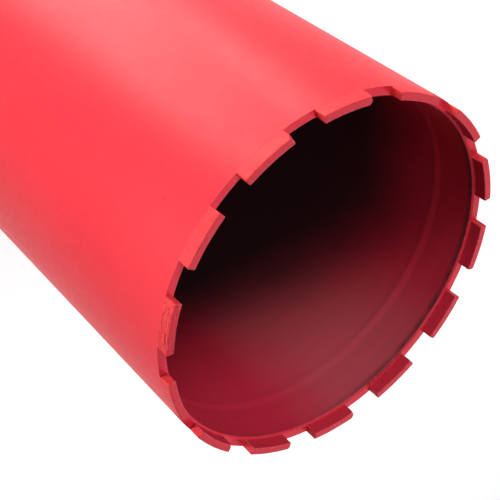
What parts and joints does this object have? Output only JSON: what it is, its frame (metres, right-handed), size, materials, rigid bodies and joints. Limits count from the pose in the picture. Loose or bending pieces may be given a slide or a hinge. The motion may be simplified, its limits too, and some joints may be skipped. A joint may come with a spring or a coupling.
{
  "type": "diamond core bit",
  "caption": "Wet diamond core bit: open steel barrel with curved cutting segments on its rim, closed at the back by a welded plate and a threaded hub.",
  "frame": {"origin": "centre of the hub's end face, which the bit stands on", "axes": "+Z along the bit's axis, from the hub towards the cutting rim; +X through the middle of the first segment"},
  "size_m": [0.1778, 0.1778, 0.455],
  "materials": {
    "barrel_paint": "satin red spray paint on a steel tube",
    "plate_paint": "satin red spray paint on turned steel plate",
    "hub_paint": "satin red spray paint on a turned steel hub",
    "weld_paint": "red spray paint over rippled weld beads",
    "segment_paint": "thin red spray paint on pitted sintered diamond segments"
  },
  "bodies": {
    "root": {"barrel": "barrel_paint", "back_plate": "plate_paint", "hub": "hub_paint", "plate_weld": "weld_paint", "hub_weld": "weld_paint", "segment_01": "segment_paint", "segment_02": "segment_paint", "segment_03": "segment_paint", "segment_04": "segment_paint", "segment_05": "segment_paint", "segment_06": "segment_paint", "segment_07": "segment_paint", "segment_08": "segment_paint", "segment_09": "segment_paint", "segment_10": "segment_paint", "segment_11": "segment_paint", "segment_12": "segment_paint", "segment_13": "segment_paint", "segment_14": "segment_paint"}
  },
  "joints": []
}
